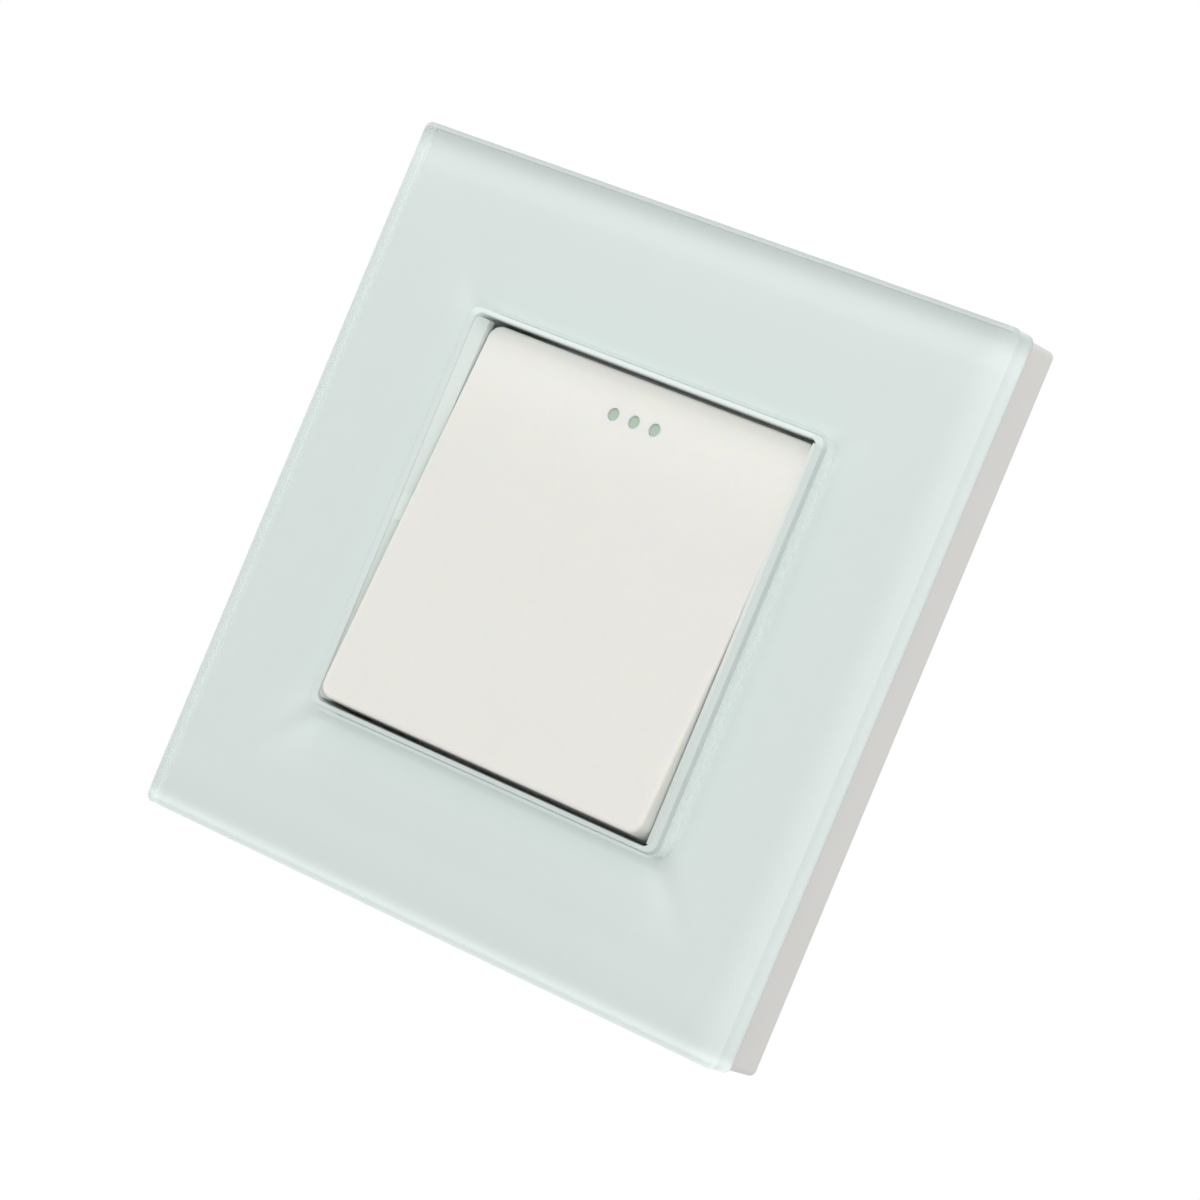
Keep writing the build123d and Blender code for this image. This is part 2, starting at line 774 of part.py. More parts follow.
# Mounting yoke with a folded lip, fixing slots, window and holes for screws, catches and hooks
hook_hole_inner = hook_x - ring_side / 2 - hook_clearance
hook_hole_outer = hook_x + ring_side / 2 + hook_barb + hook_clearance
with BuildPart() as mounting_yoke:
    with BuildSketch(wall_plane(wall_y)):
        RectangleRounded(yoke_width, yoke_height, yoke_corner)
    extrude(amount=yoke_thickness)
    with BuildSketch(wall_plane(yoke_front)):
        RectangleRounded(yoke_width, yoke_height, yoke_corner)
        RectangleRounded(
            yoke_width - 2 * yoke_thickness,
            yoke_height - 2 * yoke_thickness,
            yoke_corner - yoke_thickness,
            mode=Mode.SUBTRACT,
        )
    extrude(amount=yoke_front - yoke_lip_front)
    with BuildSketch(wall_plane(wall_y)):
        RectangleRounded(yoke_window_width, yoke_window_height, yoke_window_corner)
        with Locations((-fixing_spacing / 2, 0), (fixing_spacing / 2, 0)):
            SlotOverall(fixing_slot_length, 2 * fixing_half_width)
        with Locations(*screw_places):
            Circle(screw_shank_radius + screw_passage)
        with Locations(*corners(catch_spacing_x / 2, catch_spacing_z / 2)):
            Circle(catch_radius + catch_clearance)
        with Locations(*corners((hook_hole_inner + hook_hole_outer) / 2, hook_spacing / 2)):
            Rectangle(hook_hole_outer - hook_hole_inner, hook_width + 2 * hook_clearance)
    extrude(amount=yoke_thickness, mode=Mode.SUBTRACT)

# Self-tapping screws from the rear into the cover's bosses, with a cross recess
with BuildPart() as assembly_screws:
    with BuildSketch(wall_plane(screw_seat)):
        with Locations(*screw_places):
            Circle(screw_shank_radius)
    extrude(amount=screw_seat - boss_end - screw_tip_gap)
    with BuildSketch(wall_plane(screw_seat)):
        with Locations(*screw_places):
            Circle(screw_head_radius)
    extrude(amount=-screw_head_height)
    fillet(assembly_screws.faces().sort_by(Axis.Y)[-4:].edges(), clamp_edge_radius)
    with BuildSketch(wall_plane(screw_seat + screw_head_height)):
        with Locations(*screw_places):
            Rectangle(screw_drive_length, screw_drive_width)
            Rectangle(screw_drive_width, screw_drive_length)
    extrude(amount=screw_drive_depth, mode=Mode.SUBTRACT)

# Soft pads that the rocker's skirt lands on, one at each end on opposite sides
pad_inner = cover_height / 2 + pad_cover_gap
pad_outer = ring_inner_height / 2 + pad_overhang
pad_z = (pad_inner + pad_outer) / 2
pad_front = skirt_landing + pad_gap
with BuildPart() as stop_pads:
    with BuildSketch(wall_plane(yoke_front)):
        with Locations((-pad_offset, -pad_z), (pad_offset, pad_z)):
            Rectangle(pad_width, pad_outer - pad_inner)
    extrude(amount=yoke_front - pad_front)

pieces = {
    "glass_panel": glass_panel,
    "bonding_sheet": bonding_sheet,
    "panel_carrier": panel_carrier,
    "trim_ring": trim_ring,
    "rocker_cap": rocker_cap,
    "luminous_insert": luminous_insert,
    "rocker_stem": rocker_stem,
    "contact_plunger": contact_plunger,
    "plunger_spring": plunger_spring,
    "changeover_lever": changeover_lever,
    "lever_contacts": lever_contacts,
    "fixed_contacts": fixed_contacts,
    "common_strip": common_strip,
    "line1_strip": line1_strip,
    "line2_strip": line2_strip,
    "common_terminal": common_terminal,
    "line1_terminal": line1_terminal,
    "line2_terminal": line2_terminal,
    "common_clamp_screw": common_clamp_screw,
    "line1_clamp_screw": line1_clamp_screw,
    "line2_clamp_screw": line2_clamp_screw,
    "mechanism_base": mechanism_base,
    "mechanism_cover": mechanism_cover,
    "mounting_yoke": mounting_yoke,
    "assembly_screws": assembly_screws,
    "stop_pads": stop_pads,
}

os.makedirs("parts", exist_ok=True)
for name, piece in pieces.items():
    piece.part.label = name
    export_step(piece.part, f"parts/{name}.step")

print(f"spring least gap between turns {spring_pitch - spring_wire:.2f} mm")
print(f"rocker pivot y {pivot_y:.4f}, lever fulcrum y {fulcrum_y:.4f}, wire y {wire_y:.4f}")
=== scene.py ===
import math

import bmesh
import bpy
from mathutils import Matrix, Vector


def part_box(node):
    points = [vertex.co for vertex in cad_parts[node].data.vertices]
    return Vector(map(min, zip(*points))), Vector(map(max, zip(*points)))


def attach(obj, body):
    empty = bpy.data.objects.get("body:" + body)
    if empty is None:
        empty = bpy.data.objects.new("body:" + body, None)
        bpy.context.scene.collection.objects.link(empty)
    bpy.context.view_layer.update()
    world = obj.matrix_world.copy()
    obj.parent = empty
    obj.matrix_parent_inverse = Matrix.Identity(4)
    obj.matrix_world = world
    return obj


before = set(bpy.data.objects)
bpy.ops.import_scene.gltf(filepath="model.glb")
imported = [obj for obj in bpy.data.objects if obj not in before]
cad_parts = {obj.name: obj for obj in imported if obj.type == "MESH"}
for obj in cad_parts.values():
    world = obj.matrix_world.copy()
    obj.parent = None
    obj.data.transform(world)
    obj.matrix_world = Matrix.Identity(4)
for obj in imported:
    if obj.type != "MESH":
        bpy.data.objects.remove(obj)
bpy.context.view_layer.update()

MM = 0.001

# Camera, solved from the plate's edges: 1200 x 1200 image, square pixels, no shift
camera_place = Vector((312.25, -455.87, -1.19)) * MM
camera_yaw = math.radians(34.439)
camera_pitch = math.radians(-0.009)
camera_roll = math.radians(22.639)
camera_near = 0.01
camera_far = 20.0
focal_pixels = 4866.0
image_pixels = 1200.0
sensor_width = 36.0

# Light levels: a diffuse colour facing the room renders about as it is written
ambient_strength = 0.78
background_strength = 1.0
box_distance = 1.1
box_size = 0.7
soft_boxes = {
    "top_front": ((0.0, -0.71, 0.71), 1.8),
    "right_front": ((0.71, -0.71, 0.0), 1.0),
    "front": ((0.0, -1.0, 0.0), 1.3),
}

# Rays that have met no diffuse surface yet have a diffuse depth below this
first_diffuse_depth = 0.5

# Floor
floor_height = -0.16
floor_size = 0.7
floor_level = 0.62

# Noise textures: scale per metre and detail of each, and the range of values that they mostly give
glass_clouds = (60.0, 2.0)
plastic_clouds = (140.0, 3.0)
metal_clouds = (180.0, 3.0)
roughness_patches = (420.0, 2.0)
metal_streaks = (900.0, 2.0)
plastic_grain = (5200.0, 1.0)
noise_low = 0.3
noise_high = 0.7

# Surface detail: how far roughness and the paint's level stray, and how strong the bumps are
plastic_roughness_span = 0.04
metal_roughness_span = 0.07
paint_variation = 0.006
plastic_bump_strength = 0.6
metal_bump_strength = 0.5

# Indices of refraction
plastic_ior = 1.48
glass_ior = 1.5

# How far red, green and blue light bleeds in pale plastic, as shares of the bleed
bleed_radius = (1.0, 0.85, 0.6)

# Boxes of the CAD nodes that the new pieces follow
ring_low, ring_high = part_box("trim_ring")
glass_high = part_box("glass_panel")[1]

# Sizes of the glass and its opening that the boxes don't give
glass_corner = 1.0 * MM
glass_rear_arris = 0.45 * MM
ring_groove = 0.15 * MM
hook_barb = 0.5 * MM
opening_half_x = ring_high.x - hook_barb + ring_groove
opening_half_z = ring_high.z + ring_groove
opening_corner = 1.45 * MM

# Sizes of the paint: how far it sinks into the glass, stays in from its edge and laps into the opening
paint_sunk = 0.03 * MM
paint_edge = 0.01 * MM
paint_lap = 0.12 * MM
arris_share = math.tan(math.pi / 8)

# Sizes of the ring's sloped inner sides
ring_side = 0.95 * MM
ring_lip_radius = 0.18 * MM
slope_bite = 0.02 * MM
slope_edge = 0.12 * MM
slope_falls = {"ring_slope_left": 1.7 * MM, "ring_slope_right": 0.45 * MM}
slope_inner = 24.06 * MM
slope_end = 23.7 * MM
slope_floor = -6.9 * MM
pin_floor = -8.3 * MM
pin_room = 1.6 * MM

# Painted light and shade as tones by place in mm, kept at a part of their level because a colour ramp holds
# values up to 1
ramp_level = 1.25
# On the back paint: painted highlights along the bottom and left edges, painted light a few mm in from the
# top and right edges, and painted shade just under the top edge
paint_painted_light_and_shade_by_height = [
    (-43.0, 1.0), (-42.7, 1.0), (-42.5, 1.2), (-42.2, 1.2), (-41.9, 1.11), (-41.6, 1.04), (-41.2, 0.985),
    (-40.6, 0.97), (-37.0, 1.0), (27.0, 1.0), (33.0, 1.01), (37.6, 1.04), (38.6, 1.08), (39.4, 1.08),
    (40.2, 1.06), (40.9, 0.99), (41.4, 0.91), (41.9, 0.85), (42.3, 0.8), (42.6, 0.9), (43.0, 0.93),
]
paint_painted_light_by_side = [
    (-43.0, 1.17), (-42.8, 1.17), (-42.4, 1.0), (37.5, 1.0), (39.2, 1.04), (40.2, 1.08), (41.3, 1.09),
    (41.8, 1.04), (43.0, 1.0),
]
# The ring's top is lighter by painted light and its right side darker by painted shade, which the sloped
# sides share
ring_painted_light_by_height = [(-25.0, 1.0), (23.4, 1.0), (23.9, 1.14), (25.0, 1.14)]
ring_painted_shade_by_side = [(-26.5, 0.98), (-24.0, 1.0), (24.0, 1.0), (24.4, 0.93), (26.5, 0.93)]
# The rocker's top, which lies in the ring's shade, is lighter by painted light
rocker_painted_light_by_height = [
    (-24.0, 1.0), (8.0, 1.0), (14.0, 1.02), (20.0, 1.065), (22.0, 1.07), (22.7, 1.04), (24.0, 1.0),
]

# Painted light and shade on the back paint by its distance in mm from the opening, for each side of it:
# painted light beside and below the opening, painted light then faint painted shade above it
painted_light_right_of_opening = [
    (-0.2, 1.3), (0.0, 1.28), (0.3, 1.23), (0.57, 1.16), (1.1, 1.07), (2.2, 1.05), (4.0, 1.02), (9.0, 1.0),
]
painted_light_left_of_opening = [(-0.2, 1.2), (0.0, 1.2), (2.0, 1.12), (3.5, 1.07), (5.5, 1.02), (9.0, 1.0)]
painted_light_and_shade_above_opening = [(-0.2, 1.16), (0.0, 1.13), (0.6, 1.08), (1.2, 1.02), (1.8, 0.985), (9.0, 0.99)]
painted_light_below_opening = [
    (-0.2, 1.06), (0.0, 1.06), (0.6, 1.07), (1.1, 1.12), (1.6, 1.19), (2.5, 1.16), (3.4, 1.12), (5.5, 1.05),
    (9.0, 1.0),
]

# Distance along X or Z from the opening's diagonals at which this painted light and shade has its full
# strength
corner_fade = 3.5 * MM


def srgb(red, green, blue):
    """Linear colour from 0 to 255 display values."""
    def linear(value):
        value /= 255.0
        return value / 12.92 if value <= 0.04045 else ((value + 0.055) / 1.055) ** 2.4
    return (linear(red), linear(green), linear(blue), 1.0)


def grey(level):
    """A neutral linear colour."""
    return (level, level, level, 1.0)


def shade(colour, factor):
    """A colour with its level changed."""
    return tuple(channel * factor for channel in colour[:3]) + (1.0,)


# Colours of what the photograph shows
glass_white = srgb(216, 225, 222)
ring_white = srgb(219, 228, 225)
# The sloped sides are paler than the ring: painted light in the narrow, shaded channel beside the rocker
slope_white_painted_light = srgb(236, 244, 241)
rocker_ivory = srgb(234, 233, 228)
carrier_white = srgb(228, 227, 223)
glow_green = srgb(180, 200, 182)

# The glass's tint, between two near greens
glass_tint = (0.983, 0.995, 0.989, 1.0)
glass_tint_light = (0.987, 0.996, 0.992, 1.0)

# Plain plastics: node, material, colour and roughness
plain_plastics = (
    ("bonding_sheet", "bond_film", srgb(225, 226, 224), 0.7),
    ("panel_carrier", "carrier_plastic", carrier_white, 0.42),
    ("rocker_stem", "stem_plastic", srgb(190, 190, 186), 0.5),
    ("contact_plunger", "plunger_plastic", srgb(222, 216, 200), 0.4),
    ("mechanism_base", "base_plastic", srgb(214, 214, 210), 0.5),
    # The mechanism cover is dark grey, which also keeps the deep slits round the rocker dark
    ("mechanism_cover", "cover_plastic", srgb(74, 76, 76), 0.55),
    ("stop_pads", "pad_rubber", srgb(236, 237, 235), 0.8),
)

# Metals: material, its two tones, roughness, stretch of its streaks, and the nodes made of it
metals = (
    ("plated_steel", srgb(196, 198, 200), srgb(206, 207, 204), 0.34, (1, 1, 0.06), ("mounting_yoke",)),
    ("screw_steel", srgb(190, 192, 195), srgb(202, 202, 200), 0.3, (1, 0.1, 1), ("assembly_screws",)),
    ("spring_steel", srgb(170, 172, 176), srgb(186, 187, 190), 0.28, (1, 1, 1), ("plunger_spring",)),
    ("contact_brass", srgb(214, 180, 108), srgb(222, 190, 122), 0.3, (1, 1, 0.08),
     ("changeover_lever", "common_strip", "line1_strip", "line2_strip")),
    ("terminal_brass", srgb(206, 172, 100), srgb(218, 186, 118), 0.34, (1, 1, 0.05),
     ("common_terminal", "line1_terminal", "line2_terminal")),
    ("screw_brass", srgb(204, 190, 142), srgb(214, 202, 160), 0.3, (1, 0.1, 1),
     ("common_clamp_screw", "line1_clamp_screw", "line2_clamp_screw")),
    ("silver_contact", srgb(226, 225, 221), srgb(234, 232, 228), 0.25, (1, 1, 1),
     ("lever_contacts", "fixed_contacts")),
)


def make_camera():
    """The camera at the photograph's place and angle."""
    forward = Vector((
        -math.sin(camera_yaw) * math.cos(camera_pitch),
        math.cos(camera_yaw) * math.cos(camera_pitch),
        -math.sin(camera_pitch),
    ))
    level = Vector((math.cos(camera_yaw), math.sin(camera_yaw), 0.0))
    upright = level.cross(forward)
    right = math.cos(camera_roll) * level + math.sin(camera_roll) * upright
    up = math.cos(camera_roll) * upright - math.sin(camera_roll) * level
    data = bpy.data.cameras.new("camera")
    data.sensor_width = sensor_width
    data.lens = focal_pixels / image_pixels * sensor_width
    data.clip_start = camera_near
    data.clip_end = camera_far
    camera = bpy.data.objects.new("camera", data)
    bpy.context.scene.collection.objects.link(camera)
    turn = Matrix((right, up, -forward)).transposed().to_4x4()
    camera.matrix_world = Matrix.Translation(camera_place) @ turn
    bpy.context.scene.camera = camera


def soft_box(name, direction, power):
    """A square area light that looks at the object from a direction."""
    data = bpy.data.lights.new(name, "AREA")
    data.shape = "SQUARE"
    data.size = box_size
    data.energy = power
    lamp = bpy.data.objects.new(name, data)
    bpy.context.scene.collection.objects.link(lamp)
    lamp.location = Vector(direction).normalized() * box_distance
    lamp.rotation_mode = "QUATERNION"
    lamp.rotation_quaternion = (-lamp.location).to_track_quat("-Z", "Y")


def math_node(nodes, links, operation, first, second=None):
    """The result of a Math node on sockets or plain numbers."""
    node = nodes.new("ShaderNodeMath")
    node.operation = operation
    for socket, value in zip(node.inputs, (first, second)):
        if isinstance(value, float):
            socket.default_value = value
        elif value is not None:
            links.new(value, socket)
    return node.outputs[0]


def mixed_shader(nodes, links, factor, first, second):
    """The first shader where the factor is 0, the second where it is 1."""
    node = nodes.new("ShaderNodeMixShader")
    for socket, value in zip(node.inputs, (factor, first, second)):
        links.new(value, socket)
    return node.outputs[0]


def glow(nodes, kind, strength):
    """A white Background or Emission shader."""
    node = nodes.new(kind)
    node.inputs["Color"].default_value = grey(1.0)
    node.inputs["Strength"].default_value = strength
    return node.outputs[0]


def seen_rays(nodes, links):
    """1 where a camera, glossy or transmission ray shows the background, 0 where it lights the object."""
    rays = nodes.new("ShaderNodeLightPath").outputs
    shown = math_node(nodes, links, "MAXIMUM", rays["Is Camera Ray"], rays["Is Glossy Ray"])
    shown = math_node(nodes, links, "MAXIMUM", shown, rays["Is Transmission Ray"])
    before_diffuse = math_node(nodes, links, "LESS_THAN", rays["Diffuse Depth"], first_diffuse_depth)
    return math_node(nodes, links, "MULTIPLY", shown, before_diffuse)


def make_world():
    """White behind the object, a plain grey level of light all round it."""
    world = bpy.data.worlds.new("studio")
    bpy.context.scene.world = world
    world.use_nodes = True
    nodes, links = world.node_tree.nodes, world.node_tree.links
    nodes.clear()
    light = glow(nodes, "ShaderNodeBackground", ambient_strength)
    white = glow(nodes, "ShaderNodeBackground", background_strength)
    surface = mixed_shader(nodes, links, seen_rays(nodes, links), light, white)
    links.new(surface, nodes.new("ShaderNodeOutputWorld").inputs["Surface"])


def make_floor():
    """A pale floor that looks white where it is lit and keeps the object's shadow."""
    mesh = bpy.data.meshes.new("floor")
    half = floor_size / 2
    corners = [(-half, -half), (half, -half), (half, half), (-half, half)]
    mesh.from_pydata([(x, y, floor_height) for x, y in corners], [], [(0, 1, 2, 3)])
    floor = bpy.data.objects.new("floor", mesh)
    bpy.context.scene.collection.objects.link(floor)
    material = bpy.data.materials.new("floor")
    material.use_nodes = True
    nodes, links = material.node_tree.nodes, material.node_tree.links
    nodes.clear()
    pale = nodes.new("ShaderNodeBsdfDiffuse")
    pale.inputs["Color"].default_value = grey(floor_level)
    both = nodes.new("ShaderNodeAddShader")
    links.new(pale.outputs[0], both.inputs[0])
    links.new(glow(nodes, "ShaderNodeEmission", floor_level), both.inputs[1])
    surface = mixed_shader(nodes, links, seen_rays(nodes, links), pale.outputs[0], both.outputs[0])
    links.new(surface, nodes.new("ShaderNodeOutputMaterial").inputs["Surface"])
    mesh.materials.append(material)


def new_material(name):
    """A material with its node tree, its Principled shader and an Object coordinate socket."""
    material = bpy.data.materials.new(name)
    material.use_nodes = True
    nodes, links = material.node_tree.nodes, material.node_tree.links
    shader = nodes["Principled BSDF"]
    where = nodes.new("ShaderNodeTexCoord").outputs["Object"]
    return material, nodes, links, shader, where


def noise(nodes, links, where, pattern, stretch=None):
    """The factor of a noise texture of a scale and detail, its coordinates stretched where asked."""
    scale, detail = pattern
    if stretch:
        mapping = nodes.new("ShaderNodeMapping")
        mapping.inputs["Scale"].default_value = stretch
        links.new(where, mapping.inputs["Vector"])
        where = mapping.outputs["Vector"]
    texture = nodes.new("ShaderNodeTexNoise")
    texture.inputs["Scale"].default_value = scale
    texture.inputs["Detail"].default_value = detail
    links.new(where, texture.inputs["Vector"])
    return texture.outputs["Fac"]


def spread(nodes, links, value, low, high):
    """A noise factor mapped to the range from low to high."""
    node = nodes.new("ShaderNodeMapRange")
    node.inputs["From Min"].default_value = noise_low
    node.inputs["From Max"].default_value = noise_high
    node.inputs["To Min"].default_value = low
    node.inputs["To Max"].default_value = high
    links.new(value, node.inputs["Value"])
    return node.outputs["Result"]


def clouded(nodes, links, where, pattern, first, second):
    """A colour that drifts between two colours in soft clouds."""
    clouds = noise(nodes, links, where, pattern)
    node = nodes.new("ShaderNodeMix")
    node.data_type = "RGBA"
    links.new(spread(nodes, links, clouds, 0.0, 1.0), node.inputs["Factor"])
    node.inputs["A"].default_value = first
    node.inputs["B"].default_value = second
    return node.outputs["Result"]


def patchy_roughness(nodes, links, where, shader, roughness):
    """A plastic's or paint's roughness, a little uneven."""
    patches = noise(nodes, links, where, roughness_patches)
    low, high = roughness - plastic_roughness_span, roughness + plastic_roughness_span
    links.new(spread(nodes, links, patches, low, high), shader.inputs["Roughness"])


def bump(nodes, links, height, distance, strength, shader):
    """A bump of the given height in metres on the shader's normal."""
    node = nodes.new("ShaderNodeBump")
    node.inputs["Distance"].default_value = distance
    node.inputs["Strength"].default_value = strength
    links.new(height, node.inputs["Height"])
    links.new(node.outputs["Normal"], shader.inputs["Normal"])


def object_axes(nodes, links, where):
    """The X, Y and Z of the Object coordinate."""
    axes = nodes.new("ShaderNodeSeparateXYZ")
    links.new(where, axes.inputs[0])
    return axes.outputs


def toned(nodes, links, colour, distance, stops, strength=None):
    """A colour times painted light and shade: the tone at a distance, from a list of places in mm and
    tones.
    """
    low, high = stops[0][0], stops[-1][0]
    place = nodes.new("ShaderNodeMapRange")
    place.inputs["From Min"].default_value = low * MM
    place.inputs["From Max"].default_value = high * MM
    links.new(distance, place.inputs["Value"])
    ramp = nodes.new("ShaderNodeValToRGB")
    for index, (at, tone) in enumerate(stops):
        share = (at - low) / (high - low)
        element = ramp.color_ramp.elements[index] if index < 2 else ramp.color_ramp.elements.new(share)
        element.position = share
        element.color = grey(tone / ramp_level)
    links.new(place.outputs["Result"], ramp.inputs["Fac"])
    tone = ramp.outputs["Color"]
    if strength is not None:
        plain = nodes.new("ShaderNodeMix")
        plain.data_type = "RGBA"
        plain.inputs["A"].default_value = grey(1 / ramp_level)
        links.new(strength, plain.inputs["Factor"])
        links.new(tone, plain.inputs["B"])
        tone = plain.outputs["Result"]
    product = nodes.new("ShaderNodeMix")
    product.data_type = "RGBA"
    product.blend_type = "MULTIPLY"
    product.inputs["Factor"].default_value = 1.0
    links.new(colour, product.inputs["A"])
    links.new(tone, product.inputs["B"])
    return product.outputs["Result"]


def plastic(name, colour, roughness, variation=0.012, grain=0.004, gloss=0.5, bleed=0.0, tones=()):
    """Moulded plastic: faint cloudy colour, fine spark-eroded grain, light bleeding some millimetres, and
    painted light and shade by place where tones are given.
    """
    material, nodes, links, shader, where = new_material(name)
    level = ramp_level ** len(tones)
    darker = shade(colour, level * (1 - variation))
    lighter = shade(colour, level * (1 + variation))
    tone = clouded(nodes, links, where, plastic_clouds, darker, lighter)
    axes = object_axes(nodes, links, where)
    for axis, stops in tones:
        tone = toned(nodes, links, tone, axes[axis], stops)
    links.new(tone, shader.inputs["Base Color"])
    patchy_roughness(nodes, links, where, shader, roughness)
    shader.inputs["IOR"].default_value = plastic_ior
    shader.inputs["Specular IOR Level"].default_value = gloss
    if bleed:
        shader.inputs["Subsurface Weight"].default_value = 1.0
        shader.inputs["Subsurface Radius"].default_value = bleed_radius
        shader.inputs["Subsurface Scale"].default_value = bleed * MM
    height = noise(nodes, links, where, plastic_grain)
    bump(nodes, links, height, grain * MM, plastic_bump_strength, shader)
    return material


def painted_glass(name, colour, roughness):
    """Back paint with painted light and shade, in bands by the glass's edges and round the opening,
    standing for the light that the edges of the glass gather.
    """
    material, nodes, links, shader, where = new_material(name)
    axes = object_axes(nodes, links, where)
    across, up = axes["X"], axes["Z"]
    past_side, past_end = (
        math_node(nodes, links, "SUBTRACT", math_node(nodes, links, "ABSOLUTE", axis), half)
        for axis, half in ((across, opening_half_x), (up, opening_half_z))
    )
    past_opening = math_node(nodes, links, "MAXIMUM", past_side, past_end)
    toward_side = math_node(nodes, links, "SUBTRACT", past_side, past_end)
    by_place = ((up, paint_painted_light_and_shade_by_height), (across, paint_painted_light_by_side))
    # The axis, the way along it, 1 beside the opening or -1 above and below it, and the painted light and
    # shade tones there
    by_sector = (
        (across, 1.0, 1.0, painted_light_right_of_opening),
        (across, -1.0, 1.0, painted_light_left_of_opening),
        (up, 1.0, -1.0, painted_light_and_shade_above_opening),
        (up, -1.0, -1.0, painted_light_below_opening),
    )
    full = shade(colour, ramp_level ** (len(by_place) + len(by_sector)))
    tone = clouded(nodes, links, where, plastic_clouds, shade(full, 1 - paint_variation), full)
    for axis, stops in by_place:
        tone = toned(nodes, links, tone, axis, stops)
    for axis, direction, sector, stops in by_sector:
        fade = nodes.new("ShaderNodeMapRange")
        fade.interpolation_type = "SMOOTHSTEP"
        fade.inputs["From Max"].default_value = corner_fade * sector
        links.new(toward_side, fade.inputs["Value"])
        outward = math_node(nodes, links, "MULTIPLY", axis, direction)
        chosen = math_node(nodes, links, "GREATER_THAN", outward, 0.0)
        weight = math_node(nodes, links, "MULTIPLY", fade.outputs["Result"], chosen)
        tone = toned(nodes, links, tone, past_opening, stops, weight)
    links.new(tone, shader.inputs["Base Color"])
    patchy_roughness(nodes, links, where, shader, roughness)
    return material


def metal(name, colour, second, roughness, stretch, grain=0.003):
    """Metal with drawn or rolled streaks and a slow change of tone."""
    material, nodes, links, shader, where = new_material(name)
    tone = clouded(nodes, links, where, metal_clouds, colour, second)
    links.new(tone, shader.inputs["Base Color"])
    shader.inputs["Metallic"].default_value = 1.0
    streaks = noise(nodes, links, where, metal_streaks, stretch)
    low, high = roughness - metal_roughness_span, roughness + metal_roughness_span
    links.new(spread(nodes, links, streaks, low, high), shader.inputs["Roughness"])
    bump(nodes, links, streaks, grain * MM, metal_bump_strength, shader)
    return material


def clear_glass(name):
    """Clear float glass that refracts what is seen and lets the light straight through to the paint."""
    material, nodes, links, shader, where = new_material(name)
    tint = clouded(nodes, links, where, glass_clouds, glass_tint, glass_tint_light)
    links.new(tint, shader.inputs["Base Color"])
    shader.inputs["Transmission Weight"].default_value = 1.0
    shader.inputs["IOR"].default_value = glass_ior
    shader.inputs["Roughness"].default_value = 0.0
    rays = nodes.new("ShaderNodeLightPath").outputs
    lit = math_node(nodes, links, "MAXIMUM", rays["Is Shadow Ray"], rays["Is Diffuse Ray"])
    straight = nodes.new("ShaderNodeBsdfTransparent").outputs[0]
    surface = mixed_shader(nodes, links, lit, shader.outputs[0], straight)
    links.new(surface, nodes["Material Output"].inputs["Surface"])
    return material


def dress(name, material):
    """Give a CAD node a material."""
    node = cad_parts[name]
    if node.material_slots:
        for place in node.material_slots:
            place.material = material
    else:
        node.data.materials.append(material)


def rounded_loop(half_x, half_z, radius, steps=12):
    """Points of a rounded rectangle in X and Z, counter-clockwise."""
    points = []
    for corner in range(4):
        across = half_x - radius if corner in (0, 3) else radius - half_x
        along = half_z - radius if corner in (0, 1) else radius - half_z
        for step in range(steps + 1):
            angle = math.pi / 2 * (corner + step / steps)
            points.append((across + radius * math.cos(angle), along + radius * math.sin(angle)))
    return points


def mesh_piece(name, rings, material, wrap):
    """A closed mesh through rings of points, joined end to start where it wraps, else capped."""
    mesh = bpy.data.meshes.new(name)
    form = bmesh.new()
    rings = [[form.verts.new(point) for point in ring] for ring in rings]
    for first, second in zip(rings, rings[1:] + rings[:1] if wrap else rings[1:]):
        for index in range(len(first)):
            after = (index + 1) % len(first)
            form.faces.new((first[index], first[after], second[after], second[index]))
    if not wrap:
        form.faces.new(rings[0])
        form.faces.new(rings[-1])
    bmesh.ops.recalc_face_normals(form, faces=form.faces)
    form.to_mesh(mesh)
    form.free()
    mesh.materials.append(material)
    piece = bpy.data.objects.new(name, mesh)
    bpy.context.scene.collection.objects.link(piece)
    return piece


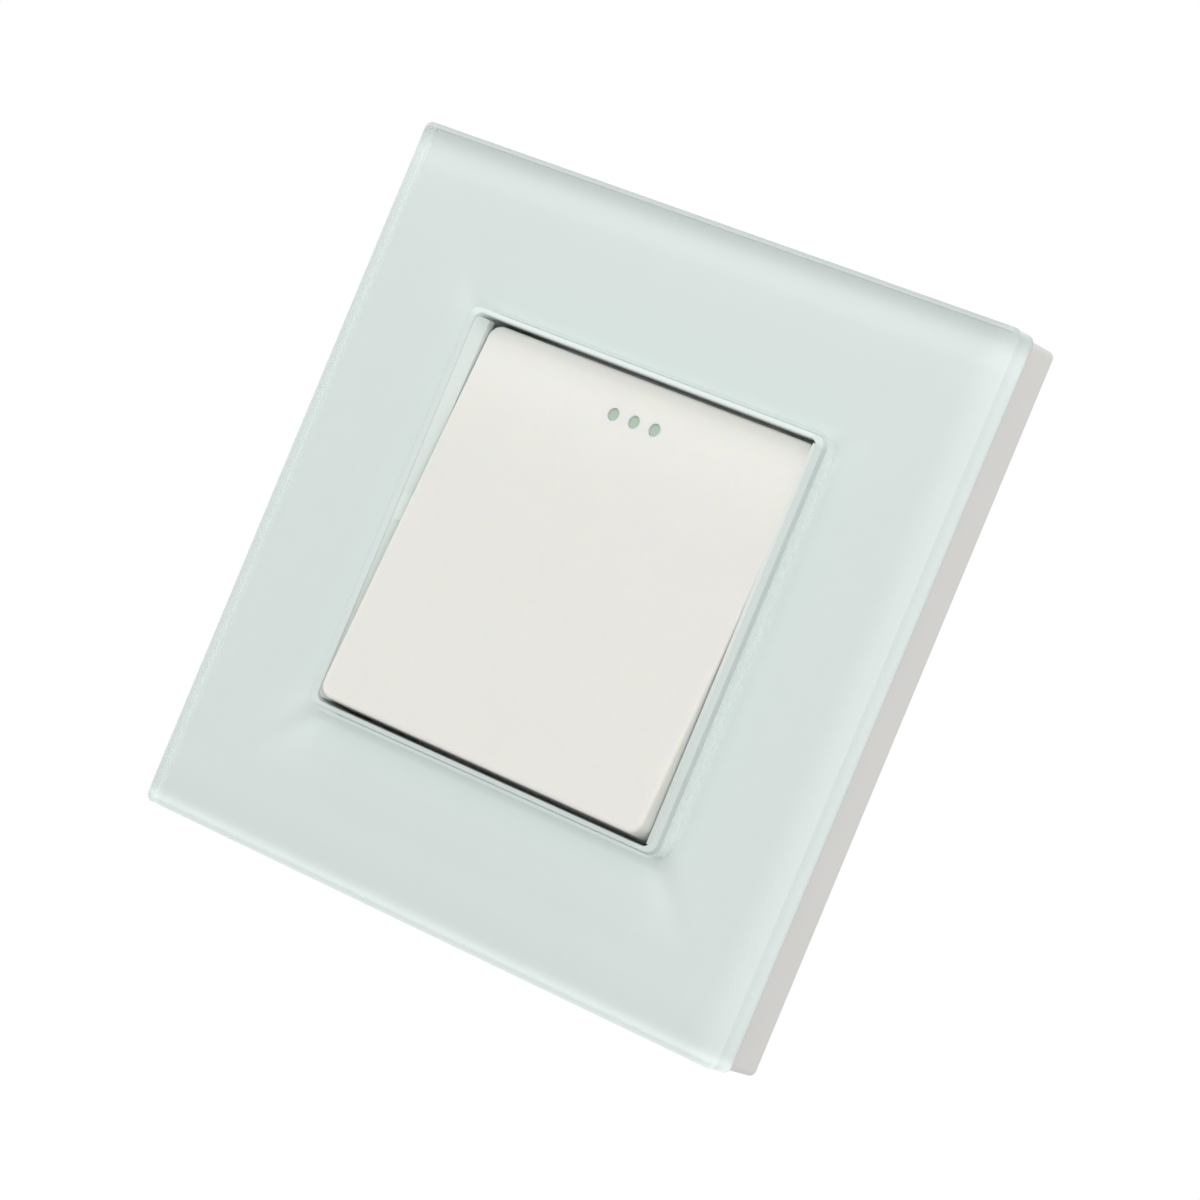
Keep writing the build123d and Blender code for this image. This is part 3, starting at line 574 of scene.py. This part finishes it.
def make_paint(material):
    """White paint on the glass's back and rear arris, sunk into the glass so that they touch all over."""
    back = glass_high.y
    corner = glass_corner - glass_rear_arris
    edge = glass_high.x - paint_edge
    arris_front = back - glass_rear_arris + paint_edge
    front_flat = glass_high.x - glass_rear_arris - paint_sunk * arris_share
    back_flat = glass_high.x - glass_rear_arris + paint_sunk * arris_share
    opening = (opening_half_x - paint_lap, opening_half_z - paint_lap, opening_corner - paint_lap)
    layers = [
        (opening, back - paint_sunk),
        ((front_flat, front_flat, corner), back - paint_sunk),
        ((edge, edge, glass_corner), arris_front - paint_sunk / arris_share),
        ((edge, edge, glass_corner), arris_front + paint_sunk / arris_share),
        ((back_flat, back_flat, corner), back + paint_sunk),
        (opening, back + paint_sunk),
    ]
    rings = [[(x, depth, z) for x, z in rounded_loop(*sizes)] for sizes, depth in layers]
    paint = mesh_piece("back_paint", rings, material, wrap=True)
    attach(paint, "front_plate")


def make_ring_slopes(material):
    """The trim ring's sloped inner sides, which close the gap beside the rocker down to its pivot pins."""
    outer = ring_high.x - hook_barb - ring_side + slope_bite
    top = ring_low.y + ring_lip_radius
    floors = (
        (-slope_end, slope_floor), (-pin_room, slope_floor), (-pin_room, pin_floor),
        (pin_room, pin_floor), (pin_room, slope_floor), (slope_end, slope_floor),
    )
    for side, name in ((-1, "ring_slope_left"), (1, "ring_slope_right")):
        rings = []
        for height, floor in floors:
            inner_top = min(top + slope_falls[name], floor - slope_edge)
            section = ((outer, top), (slope_inner, inner_top), (slope_inner, floor), (outer, floor))
            rings.append([(side * x, y, height) for x, y in section])
        piece = mesh_piece(name, rings, material, wrap=False)
        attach(piece, "mechanism")


make_camera()
make_world()
for box_name, (direction, power) in soft_boxes.items():
    soft_box(box_name, direction, power)
make_floor()

# Front plate's glass and its back paint
dress("glass_panel", clear_glass("clear_glass"))
make_paint(painted_glass("back_paint", glass_white, roughness=0.5))

# Trim ring, its sloped sides, the rocker and its night-glow strip
dress("trim_ring", plastic(
    "ring_plastic", ring_white, roughness=0.34, variation=0.006, gloss=0.35,
    tones=(("Z", ring_painted_light_by_height), ("X", ring_painted_shade_by_side)),
))
make_ring_slopes(plastic(
    "slope_plastic", slope_white_painted_light, roughness=0.4, variation=0.006, gloss=0.35,
    tones=(("X", ring_painted_shade_by_side),),
))
dress("rocker_cap", plastic(
    "rocker_plastic", rocker_ivory, roughness=0.42, variation=0.006, bleed=0.8,
    tones=(("Z", rocker_painted_light_by_height),),
))
dress("luminous_insert", plastic("glow_plastic", glow_green, roughness=0.5, variation=0.03))

for node_name, material_name, colour, roughness in plain_plastics:
    dress(node_name, plastic(material_name, colour, roughness))
for material_name, colour, second, roughness, stretch, node_names in metals:
    finish = metal(material_name, colour, second, roughness, stretch)
    for node_name in node_names:
        dress(node_name, finish)

bpy.context.scene.view_settings.view_transform = "Standard"
